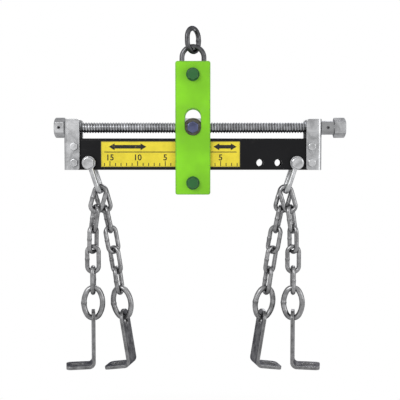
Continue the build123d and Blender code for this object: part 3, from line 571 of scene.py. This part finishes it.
def bowed(width, overall_length, wire, bend, bend_steps=32, side_steps=12):
    """The middle line of a link with bowed sides: four tangent arcs."""
    half_width = (width - wire) / 2
    end = (overall_length - wire) / 2 - bend
    side = (end**2 + half_width**2 - bend**2) / (2 * (half_width - bend))
    offset = side - half_width
    lean = degrees(atan2(end, offset))
    return [
        *arc((-offset, 0), side, 0, lean, side_steps),
        *arc((0, end), bend, lean, 180 - lean, bend_steps),
        *arc((offset, 0), side, 180 - lean, 180 + lean, 2 * side_steps),
        *arc((0, -end), bend, 180 + lean, 360 - lean, bend_steps),
        *arc((-offset, 0), side, -lean, 0, side_steps),
    ]


def welded_bar_shape():
    """Round bar swept along a closed path, with a weld at the path's start, marks of where the
    weld is, and marks of where the neighbours rub."""
    sections = ("Bar Radius", "Step", "Weld Rise", "Weld Length")
    shape = Shape("welded_bar", (*sections, "Contact Height", "Contact Reach"), ("Facets",))
    given = shape.given
    path = shape.first("GeometryNodeMeshToCurve", {0: given["Geometry"]})
    inputs = {"Curve": path, "Length": given["Step"]}
    path = shape.first("GeometryNodeResampleCurve", inputs, mode="LENGTH")
    along = shape.add("GeometryNodeSplineParameter").outputs["Length"]
    whole = shape.add("GeometryNodeSplineLength").outputs["Length"]
    from_weld = shape.math("MINIMUM", along, shape.minus(whole, along))
    weld = shape.between(from_weld, 0.0, given["Weld Length"], 1.0, 0.0)
    path = shape.store(path, "weld", weld)
    rise = shape.math("DIVIDE", given["Weld Rise"], given["Bar Radius"])
    inputs = {"Resolution": given["Facets"], "Radius": given["Bar Radius"]}
    section = shape.first("GeometryNodeCurvePrimitiveCircle", inputs, mode="RADIUS")
    inputs = {"Curve": path, "Profile Curve": section, "Scale": shape.scaled(weld, rise, 1.0)}
    bar = shape.first("GeometryNodeCurveToMesh", inputs)
    place = shape.vector("ABSOLUTE", shape.first("GeometryNodeInputPosition"))
    apart = shape.vector("DISTANCE", place, shape.joined(Y=given["Contact Height"]), "Value")
    bar = shape.store(bar, "rub", shape.between(apart, 0.0, given["Contact Reach"], 1.0, 0.0))
    shape.close(shape.first("GeometryNodeSetShadeSmooth", {"Geometry": bar}, domain="FACE"))
    return shape


def thread_shape():
    """A right-hand trapezoidal thread along X: a grid whose rows climb by one pitch a turn, so
    that crests, flanks and roots lie on its rows, closed by a flat face at each end."""
    radii = ("Crest Radius", "Root Radius", "Journal Radius")
    lengths = ("Pitch", "Half Length", "Journal Half Length", "Height")
    shape = Shape("trapezoidal_thread", (*radii, *lengths), ("Facets",))
    given = shape.given
    half, pitch, root = given["Half Length"], given["Pitch"], given["Root Radius"]
    rows_per_pitch = 6
    spare_pitches = 3.0
    root_end, crest_start = 0.36, 0.64
    nudge = 0.01
    pitches = shape.math("CEIL", shape.math("DIVIDE", shape.scaled(half, 2.0), pitch))
    rows = shape.scaled(shape.plus(pitches, spare_pitches), rows_per_pitch)
    inputs = {
        "Size X": 1.0,
        "Size Y": 1.0,
        "Vertices X": shape.plus(given["Facets"], 1.0),
        "Vertices Y": shape.plus(rows, 1.0),
    }
    grid = shape.first("GeometryNodeMeshGrid", inputs)
    u, v, _ = shape.split(shape.first("GeometryNodeInputPosition"))
    share = shape.plus(u, 0.5)
    row = shape.math("ROUND", shape.scaled(shape.plus(v, 0.5), rows))
    climbed = shape.scaled(share, rows_per_pitch, row)
    step = shape.math("DIVIDE", pitch, rows_per_pitch)
    lowest = shape.scaled(half, -1.0)
    raw = shape.scaled(climbed, step, shape.scaled(pitch, -spare_pitches / 2, lowest))
    along = shape.math("MINIMUM", shape.math("MAXIMUM", raw, lowest), half)
    phase = shape.math("FRACT", shape.math("DIVIDE", shape.plus(row, nudge), rows_per_pitch))
    swing = shape.math("ABSOLUTE", shape.scaled(phase, 2.0, -1.0))
    inputs = {"Value": swing, "From Min": root_end, "From Max": crest_start}
    crest = shape.first("ShaderNodeMapRange", inputs)
    crest = shape.scaled(crest, shape.math("COMPARE", raw, along, same_place))
    radius = shape.scaled(crest, shape.minus(given["Crest Radius"], root), root)
    past_first = shape.math("GREATER_THAN", row, 0.5)
    before_last = shape.math("LESS_THAN", row, shape.minus(rows, 0.5))
    radius = shape.scaled(radius, shape.scaled(past_first, before_last))
    turn = shape.scaled(share, 2 * pi)
    across = shape.scaled(radius, shape.math("COSINE", turn))
    place = shape.joined(X=along, Y=across, Z=shape.scaled(radius, shape.math("SINE", turn)))
    wound = shape.first("GeometryNodeSetPosition", {"Geometry": grid, "Position": place})
    wound = shape.first("GeometryNodeMergeByDistance", {"Geometry": wound, "Distance": same_place})
    inputs = {
        "Vertices": given["Facets"],
        "Radius": given["Journal Radius"],
        "Depth": shape.scaled(given["Journal Half Length"], 2.0),
    }
    journal = shape.first("GeometryNodeMeshCylinder", inputs)
    inputs = {"Geometry": journal, "Rotation": (0, pi / 2, 0)}
    journal = shape.first("GeometryNodeTransform", inputs)
    both = shape.add("GeometryNodeJoinGeometry")
    for part in (journal, wound):
        shape.tree.links.new(part, both.inputs[0])
    inputs = {"Geometry": both.outputs[0], "Translation": shape.joined(Z=given["Height"])}
    shape.close(shape.smooth(shape.first("GeometryNodeTransform", inputs), radians(28)))
    return shape


def scale_shape():
    """Marks of a scale in a row along X: every fifth number from zero has a tall one."""
    measures = ("Spacing", "Width", "Depth", "Short Mark", "Tall Mark")
    shape = Shape("scale_marks", measures, ("Count", "First Number"))
    given = shape.given
    inputs = {"Count": given["Count"], "Offset": shape.joined(X=given["Spacing"])}
    row = shape.first("GeometryNodeMeshLine", inputs, mode="OFFSET")
    index = shape.first("GeometryNodeInputIndex")
    number = shape.math("ABSOLUTE", shape.plus(index, given["First Number"]))
    tall = shape.math("LESS_THAN", shape.math("MODULO", number, marks_per_number), 0.5)
    more = shape.minus(given["Tall Mark"], given["Short Mark"])
    height = shape.scaled(tall, more, given["Short Mark"])
    mark = shape.first("GeometryNodeMeshCube", {"Size": (1, 1, 1)})
    inputs = {"Geometry": mark, "Translation": (0, 0, 0.5)}
    mark = shape.first("GeometryNodeTransform", inputs)
    size = shape.joined(X=given["Width"], Y=given["Depth"], Z=height)
    inputs = {"Points": row, "Instance": mark, "Scale": size}
    shape.close(shape.first("GeometryNodeInstanceOnPoints", inputs))
    return shape


def outward(piece):
    """Turns the faces of a closed piece outwards."""
    shape = bmesh.new()
    shape.from_mesh(piece.data)
    bmesh.ops.recalc_face_normals(shape, faces=shape.faces)
    shape.to_mesh(piece.data)
    shape.free()


def hung_frame(node):
    """Where a hanging link is: its own x across, y up its length and z along its hinge."""
    centre = middle(node)
    normal = Vector(hinges[node]["axis"])
    up = (Vector(hinges[node]["pos_m"]) - centre).normalized()
    across = up.cross(normal).normalized()
    normal = across.cross(up)
    turn = Matrix((across, up, normal)).transposed().to_4x4()
    return Matrix.Translation(centre) @ turn


def body_of(node):
    """The name of the moving body that holds a node."""
    bodies = frame["record"]["behaviour"]["bodies"]
    return next(name for name, nodes in bodies.items() if node in nodes)


def merged(node):
    """A copy of a node's mesh with its triangles joined into whole faces."""
    shape = bmesh.new()
    shape.from_mesh(cad_nodes[node].data)
    bmesh.ops.remove_doubles(shape, verts=shape.verts, dist=same_place)
    bmesh.ops.dissolve_limit(
        shape, angle_limit=same_face, verts=shape.verts, edges=shape.edges
    )
    return shape


def round_edges(shape, width):
    """Rounds every sharp edge and marks the rounding, so that a finish can wear it."""
    mark = shape.faces.layers.float.new("edge")
    sharp = [
        edge
        for edge in shape.edges
        if len(edge.link_faces) == 2 and edge.calc_face_angle() > rounded_edge
    ]
    made = bmesh.ops.bevel(
        shape,
        geom=sharp,
        offset=width,
        offset_type="OFFSET",
        segments=2,
        profile=0.5,
        affect="EDGES",
    )
    for face in made["faces"]:
        face[mark] = 1.0


def drop_spikes(shape):
    """Straightens the seam where rounding leaves a spike of one face over another."""
    spikes = []
    for vert in shape.verts:
        if len(vert.link_edges) == 2:
            one, two = (edge.other_vert(vert).co - vert.co for edge in vert.link_edges)
            if one.angle(two) < radians(90):
                spikes.append(vert)
    bmesh.ops.dissolve_verts(shape, verts=spikes)


def finished(name, shape, material, body, replaced=()):
    """Makes a piece of a shape, on a body and in place of nodes."""
    drop_spikes(shape)
    for face in shape.faces:
        face.smooth = True
    for edge in shape.edges:
        edge.smooth = len(edge.link_faces) == 2 and edge.calc_face_angle() < smooth_edge
    mesh = bpy.data.meshes.new(name)
    shape.to_mesh(mesh)
    shape.free()
    mesh.materials.append(material)
    piece = linked(name, mesh)
    normals = piece.modifiers.new("flat_faces", "WEIGHTED_NORMAL")
    normals.keep_sharp = True
    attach(piece, body)
    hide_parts(*replaced)


def round_nodes(names, material, width):
    """Puts rounded copies with a finish in place of nodes."""
    for name in names:
        shape = merged(name)
        round_edges(shape, width)
        finished(f"{name}_rounded", shape, material, body_of(name), [name])


def separate_boxes(shape):
    """The lowest and highest corner of each solid in a shape, in a fixed order."""
    left = set(shape.verts)
    boxes = []
    while left:
        fresh = {left.pop()}
        corners = []
        while fresh:
            vert = fresh.pop()
            corners.append(vert.co.copy())
            near = {edge.other_vert(vert) for edge in vert.link_edges} & left
            fresh |= near
            left -= near
        boxes.append((Vector(map(min, *corners)), Vector(map(max, *corners))))
    return sorted(boxes, key=lambda box: tuple(box[0]))


def threaded_bolts(bolts, nuts, size, material):
    """Bolts with rounded heads, and a real thread where their tips pass their nuts."""
    width = bpy.context.scene.leveler_rounding.fasteners
    sizes = bpy.context.scene.leveler_bolts
    diameter = getattr(sizes, f"{size}_diameter")
    pitch = getattr(sizes, f"{size}_pitch")
    shape = merged(bolts)
    boxes = separate_boxes(shape)
    round_edges(shape, width)
    nut_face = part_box(nuts)[1].y - width
    parts = [*shape.verts, *shape.edges, *shape.faces]
    bmesh.ops.bisect_plane(
        shape, geom=parts, plane_co=(0, nut_face, 0), plane_no=(0, 1, 0), clear_outer=True
    )
    bmesh.ops.holes_fill(shape, edges=[edge for edge in shape.edges if edge.is_boundary])
    root = diameter / 2 - sizes.depth_share * pitch
    tree = thread_shape()
    for low, high in boxes:
        half = (high.y - nut_face) / 2
        values = {
            "Crest Radius": diameter / 2,
            "Root Radius": root,
            "Pitch": pitch,
            "Half Length": half - sizes.point,
            "Facets": bolt_facets,
            "Journal Radius": root - sizes.point / 2,
            "Journal Half Length": half,
            "Height": 0.0,
            "Finish": material,
        }
        tip = tree.make(f"{bolts}_tip", bpy.data.meshes.new("tip_start"), values)
        centre = (low + high) / 2
        place = Matrix.Translation((centre.x, nut_face + half, centre.z))
        tip.data.transform(place @ Matrix.Rotation(pi / 2, 4, "Z"))
        shape.from_mesh(tip.data)
        bpy.data.objects.remove(tip)
    bmesh.ops.recalc_face_normals(shape, faces=shape.faces)
    finished(f"{bolts}_threaded", shape, material, body_of(bolts), [bolts])


def finish_nodes(names, material):
    """Gives CAD nodes a finish through their objects' own slots."""
    for name in names:
        for slot in cad_nodes[name].material_slots:
            slot.link = "OBJECT"
            slot.material = material


# Operators


class LEVELER_OT_links(Operator):
    """Make the lift ring, the carrier link, the chain links and the end links as welded bar"""

    bl_idname = "leveler.links"
    bl_label = "Make Welded Links"

    def bar(self, shape, node, path, wire, contact, place, material, slot):
        sizes = bpy.context.scene.leveler_links
        values = {
            "Bar Radius": wire / 2,
            "Step": wire * path_step,
            "Facets": bar_facets,
            "Weld Rise": sizes.weld_rise * wire / sizes.chain_wire,
            "Weld Length": sizes.weld_length * wire / sizes.chain_wire,
            "Contact Height": contact,
            "Contact Reach": wire * rub_reach,
            "Finish": material,
        }
        piece = shape.make(f"{node}_welded", loop_mesh(f"{node}_path", path), values)
        piece.data.transform(place)
        outward(piece)
        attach(piece, node)
        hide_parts(node)

    def execute(self, context):
        sizes = context.scene.leveler_links
        colours = context.scene.leveler_colours
        shape = welded_bar_shape()
        chain_steel = (link_finish("chain_steel", colours.chain_grey), "plain_steel")
        oiled = (link_finish("oiled_steel", colours.oiled_steel, 0.8), "dark_steel")
        wire = sizes.large_wire
        side, front = cos(sizes.ring_turn), sin(sizes.ring_turn)
        turn = Matrix(((side, 0, -front), (front, 0, side), (0, 1, 0))).to_4x4()
        ring_place = Matrix.Translation(middle("lift_ring")) @ turn
        for node, width, inner, place in (
            ("lift_ring", sizes.ring_width, sizes.ring_length, ring_place),
            ("carrier_link", sizes.link_width, sizes.link_length, hung_frame("carrier_link")),
        ):
            path = straight_sided(width, inner, wire)
            self.bar(shape, node, path, wire, inner / 2, place, *oiled)
        path = straight_sided(sizes.chain_width, sizes.chain_length, sizes.chain_wire)
        chain = (path, sizes.chain_wire, sizes.chain_length / 2)
        path = bowed(sizes.end_width, sizes.end_length, sizes.end_wire, sizes.end_bend)
        end = (path, sizes.end_wire, sizes.end_length / 2 - sizes.end_wire)
        for name in chain_names:
            links = {f"{name}_link_{count + 1}": chain for count in range(links_per_chain)}
            links[f"{name}_end_link"] = end
            for node, form in links.items():
                self.bar(shape, node, *form, hung_frame(node), *chain_steel)
        return {"FINISHED"}


class LEVELER_OT_screw(Operator):
    """Make the leveling screw with its real thread"""

    bl_idname = "leveler.screw"
    bl_label = "Make Leveling Screw"

    def execute(self, context):
        sizes = context.scene.leveler_screw
        low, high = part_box("leveling_screw")
        values = {
            "Crest Radius": sizes.thread_diameter / 2,
            "Root Radius": sizes.thread_diameter / 2 - sizes.thread_depth,
            "Pitch": sizes.thread_pitch,
            "Half Length": sizes.thread_half_length,
            "Facets": sizes.facets,
            "Journal Radius": sizes.journal_diameter / 2,
            "Journal Half Length": (high.x - low.x) / 2,
            "Height": screw_height(),
            "Finish": thread_finish(context.scene.leveler_colours, sizes),
        }
        piece = thread_shape().make(
            "leveling_screw_thread", bpy.data.meshes.new("thread_start"), values
        )
        piece.data.transform(Matrix.Translation(((high.x + low.x) / 2, 0, 0)))
        outward(piece)
        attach(piece, "leveling_screw")
        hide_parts("leveling_screw")
        return {"FINISHED"}


class LEVELER_OT_carrier(Operator):
    """Round and finish the carrier plates, their bolts, the rollers and the trunnion"""

    bl_idname = "leveler.carrier"
    bl_label = "Finish Carrier"

    def execute(self, context):
        colours = context.scene.leveler_colours
        edges = context.scene.leveler_rounding
        green = powder_coat("green_powder_coat", colours.carrier_green)
        round_nodes(("front_carrier_plate", "rear_carrier_plate"), green, edges.plates)
        coated = powder_coat("green_coated_steel", colours.fastener_green, 0.00001, 0.36, 0.3)
        threaded_bolts("carrier_bolts", "carrier_nuts", "large", coated)
        round_nodes(("carrier_nuts", "carrier_washers"), coated, edges.fasteners)
        steel = colours.machined_steel
        turned = turned_finish("turned_roller_steel", shade(steel, 0.8)[:3], 1)
        round_nodes(("link_spool", "bottom_roller"), turned, edges.fasteners)
        finish_nodes(("roller_sleeve",), turned)
        for node, finish in (
            ("trunnion_bushes", turned_finish("greased_bronze", colours.bronze, 1)),
            ("trunnion_nut", plate_steel_finish("machined_nut", steel)),
            ("trunnion_screws", zinc_finish("blue_zinc", colours.blue_zinc)),
        ):
            round_nodes((node,), finish, edges.fasteners)
        return {"FINISHED"}


class LEVELER_OT_bar(Operator):
    """Round and finish the bar, its end brackets, bolts, shackles and drive heads"""

    bl_idname = "leveler.bar"
    bl_label = "Finish Bar"

    def execute(self, context):
        colours = context.scene.leveler_colours
        edges = context.scene.leveler_rounding
        round_nodes(("bar_tube",), black_bar_finish(colours), edges.brackets)
        zinc = zinc_finish("bright_zinc_plating", colours.zinc)
        dull_zinc = zinc_finish("dull_zinc_plating", shade(colours.zinc, 0.84)[:3])
        round_nodes(("left_end_bracket", "right_end_bracket"), dull_zinc, edges.brackets)
        round_nodes(("left_shackle", "right_shackle"), zinc, edges.brackets)
        fasteners = ("end_bolt_nuts", "chain_bolt_nuts", "chain_bolt_washers")
        round_nodes(fasteners, zinc, edges.fasteners)
        threaded_bolts("chain_bolts", "chain_bolt_nuts", "large", zinc)
        threaded_bolts("end_bolts", "end_bolt_nuts", "small", zinc)
        heads = zinc_finish("head_zinc_plating", shade(colours.zinc, 0.8)[:3])
        round_nodes(("left_drive_head", "right_drive_head"), heads, edges.fasteners)
        turned = turned_finish("turned_washer_steel", colours.machined_steel, 0)
        round_nodes(("thrust_washers",), turned, edges.fasteners)
        bronze = turned_finish("bush_bronze", colours.bronze, 0)
        round_nodes(("screw_bushes",), bronze, edges.fasteners)
        spring = plate_steel_finish("spring_steel", shade(colours.oiled_steel, 1.2)[:3])
        finish_nodes(("roll_pins",), spring)
        inner = plate_steel_finish("inner_steel", shade(colours.chain_grey, 0.8)[:3])
        finish_nodes(("chain_bolt_sleeves", "end_plugs"), inner)
        return {"FINISHED"}


class LEVELER_OT_label(Operator):
    """Finish the label's film and print a plain scale, its numbers and arrows on it"""

    bl_idname = "leveler.label"
    bl_label = "Print Label"

    def prism(self, shape, outline, front, back):
        """An outline carried from front to back."""
        near = [shape.verts.new((x, front, z)) for x, z in outline]
        far = [shape.verts.new((x, back, z)) for x, z in outline]
        shape.faces.new(near)
        shape.faces.new(far[::-1])
        for index in range(len(outline)):
            before = index - 1
            shape.faces.new((near[before], near[index], far[index], far[before]))

    def arrow(self, shape, x, z, reach, height, front, back):
        """An arrow with a head at both ends."""
        tip, half = reach / 2, height / 2
        neck = tip - arrow_head * height
        shaft = arrow_shaft * height
        right = [(neck, -shaft), (neck, -half), (tip, 0), (neck, half), (neck, shaft)]
        left = [(-across, -up) for across, up in right]
        self.prism(shape, [(x + across, z + up) for across, up in right + left], front, back)

    def number(self, shape, x, z, size, front, back):
        """A distance from the middle, in centimetres."""
        curve = bpy.data.curves.new("number", "FONT")
        curve.body = str(round(abs(x) * 100))
        curve.size = size
        curve.align_x = "CENTER"
        curve.extrude = (back - front) / 2
        curve.offset = size * number_weight
        curve.resolution_u = 4
        mesh = plain_mesh(linked("number", curve))
        place = Matrix.Translation((x, (front + back) / 2, z))
        mesh.transform(place @ Matrix.Rotation(pi / 2, 4, "X"))
        shape.from_mesh(mesh)

    def execute(self, context):
        colours = context.scene.leveler_colours
        sizes = context.scene.leveler_label
        low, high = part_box("bar_label")
        finish_nodes(("bar_label",), label_finish(colours, sizes))
        front, back = low.y - sizes.ink, (low.y + high.y) / 2
        ink = ink_finish(colours)
        spacing = sizes.mark_spacing
        first = -int((-low.x - sizes.border) / spacing)
        last = int((high.x - sizes.border) / spacing)
        foot = low.z + sizes.border + sizes.mark_gap
        values = {
            "Count": last - first + 1,
            "Spacing": spacing,
            "Width": sizes.mark_width,
            "Depth": back - front,
            "Short Mark": sizes.short_mark,
            "Tall Mark": sizes.tall_mark,
            "First Number": first,
            "Finish": ink,
        }
        marks = scale_shape().make("scale", bpy.data.meshes.new("scale_start"), values)
        marks.data.transform(Matrix.Translation((first * spacing, (front + back) / 2, foot)))
        shape = bmesh.new()
        shape.from_mesh(marks.data)
        bpy.data.objects.remove(marks)
        above = foot + sizes.tall_mark + sizes.number_gap
        for mark in range(first, last + 1):
            if mark and mark % marks_per_number == 0:
                self.number(shape, mark * spacing, above, sizes.number_size, front, back)
        height = sizes.arrow_height
        top = high.z - sizes.border - sizes.arrow_gap - height / 2
        self.arrow(shape, sizes.left_place, top, sizes.left_arrow, height, front, back)
        self.arrow(shape, sizes.right_place, top, sizes.right_arrow, height, front, back)
        left, right = low.x + sizes.rule_inset, high.x - sizes.rule_inset
        under = top - height / 2 - sizes.rule_gap
        over = under + sizes.mark_width
        corners = [(left, under), (right, under), (right, over), (left, over)]
        self.prism(shape, corners, front, back)
        bmesh.ops.remove_doubles(shape, verts=shape.verts, dist=same_place)
        bmesh.ops.recalc_face_normals(shape, faces=shape.faces)
        finished("label_print", shape, ink, body_of("bar_label"))
        return {"FINISHED"}


class LEVELER_OT_feet(Operator):
    """Round and finish the angle brackets that bolt to the load"""

    bl_idname = "leveler.feet"
    bl_label = "Finish Angle Brackets"

    def execute(self, context):
        colours = context.scene.leveler_colours
        steel = plate_steel_finish("bent_plate_steel", shade(colours.chain_grey, 0.72)[:3])
        width = context.scene.leveler_rounding.brackets
        round_nodes([f"{name}_bracket" for name in chain_names], steel, width)
        return {"FINISHED"}


class LEVELER_OT_stage(Operator):
    """Set up the floor, the lamps, the pale background and the camera"""

    bl_idname = "leveler.stage"
    bl_label = "Set Up Stage"

    def floor(self, height, sizes):
        mesh = bpy.data.meshes.new("studio_floor")
        shape = bmesh.new()
        bmesh.ops.create_circle(shape, cap_ends=True, segments=128, radius=sizes.floor_radius)
        shape.to_mesh(mesh)
        shape.free()
        floor = linked("studio_floor", mesh)
        floor.location.z = height
        finish = Finish("pale_floor", Roughness=0.9, Specular_IOR_Level=0.1)
        finish.shader.inputs["Base Color"].default_value = (0.86, 0.86, 0.86, 1)
        distance = finish.vector("LENGTH", finish.place, result="Value")
        white = finish.between(distance, sizes.glow_start, sizes.glow_end)
        glow = finish.first("ShaderNodeEmission", {"Color": (1, 1, 1, 1), "Strength": 1.0})
        inputs = {0: white, 1: finish.shader.outputs[0], 2: glow}
        both = finish.first("ShaderNodeMixShader", inputs)
        finish.feed(finish.tree.nodes["Material Output"].inputs["Surface"], both)
        mesh.materials.append(finish.material)

    def lamp(self, name, place, target, size, power):
        data = bpy.data.lights.new(name, "AREA")
        data.shape = "DISK"
        data.size = size
        data.energy = power
        lamp = linked(name, data)
        lamp.location = place
        lamp.rotation_euler = (target - lamp.location).to_track_quat("-Z", "Y").to_euler()

    def surroundings(self, light):
        """A world that lights the leveler softly and is seen and mirrored as plain white."""
        world = bpy.data.worlds.new("pale_studio")
        world.use_nodes = True
        bpy.context.scene.world = world
        nodes = Nodes(world.node_tree)
        rays = nodes.add("ShaderNodeLightPath").outputs
        seen = nodes.plus(rays["Is Camera Ray"], rays["Is Glossy Ray"])
        seen = nodes.math("ADD", seen, rays["Is Transmission Ray"], clamp=True)
        background = world.node_tree.nodes["Background"]
        background.inputs["Color"].default_value = (1, 1, 1, 1)
        nodes.feed(background.inputs["Strength"], nodes.scaled(seen, 1.0 - light, light))

    def execute(self, context):
        scene = context.scene
        sizes = scene.leveler_stage
        low, high = cad_box
        centre = (low + high) / 2
        self.floor(low.z - sizes.floor_drop, sizes)
        for name, place, size, power in (
            ("key_lamp", (-1.1, -1.9, 0.9), 1.3, 26),
            ("fill_lamp", (1.9, -1.3, 0.1), 1.5, 12),
            ("back_lamp", (0.6, 1.9, 1.1), 1.2, 20),
        ):
            self.lamp(name, place, centre, size, power)
        self.surroundings(sizes.world_light)
        camera = linked("camera", bpy.data.cameras.new("camera"))
        camera.data.lens = sizes.focal_length
        camera.location = (centre.x, centre.y - sizes.camera_distance, sizes.camera_height)
        camera.rotation_euler = (centre - camera.location).to_track_quat("-Z", "Y").to_euler()
        scene.camera = camera
        scene.view_settings.view_transform = "Standard"
        return {"FINISHED"}


class LEVELER_PT_steps(Panel):
    """The steps and the sizes of the load leveler"""

    bl_label = "Load Leveler"
    bl_idname = "LEVELER_PT_steps"
    bl_space_type = "VIEW_3D"
    bl_region_type = "UI"
    bl_category = "Leveler"

    def draw(self, context):
        for operator in operators:
            self.layout.operator(operator.bl_idname)
        for name, group in groups.items():
            box = self.layout.box()
            box.label(text=group.__name__)
            for entry in group.__annotations__:
                box.prop(getattr(context.scene, name), entry)


groups = {
    "leveler_screw": ScrewSizes,
    "leveler_links": LinkSizes,
    "leveler_colours": FinishColours,
    "leveler_rounding": RoundingSizes,
    "leveler_bolts": BoltSizes,
    "leveler_label": LabelSizes,
    "leveler_stage": StageSizes,
}
operators = (
    LEVELER_OT_links,
    LEVELER_OT_screw,
    LEVELER_OT_carrier,
    LEVELER_OT_bar,
    LEVELER_OT_label,
    LEVELER_OT_feet,
    LEVELER_OT_stage,
)
classes = (*groups.values(), *operators, LEVELER_PT_steps)


def register():
    for item in classes:
        bpy.utils.register_class(item)
    for name, group in groups.items():
        setattr(bpy.types.Scene, name, PointerProperty(type=group))


def unregister():
    for name in groups:
        delattr(bpy.types.Scene, name)
    for item in reversed(classes):
        bpy.utils.unregister_class(item)


def main():
    register()
    bpy.ops.leveler.links()
    bpy.ops.leveler.screw()
    bpy.ops.leveler.carrier()
    bpy.ops.leveler.bar()
    bpy.ops.leveler.label()
    bpy.ops.leveler.feet()
    bpy.ops.leveler.stage()


if __name__ == "__main__":
    main()
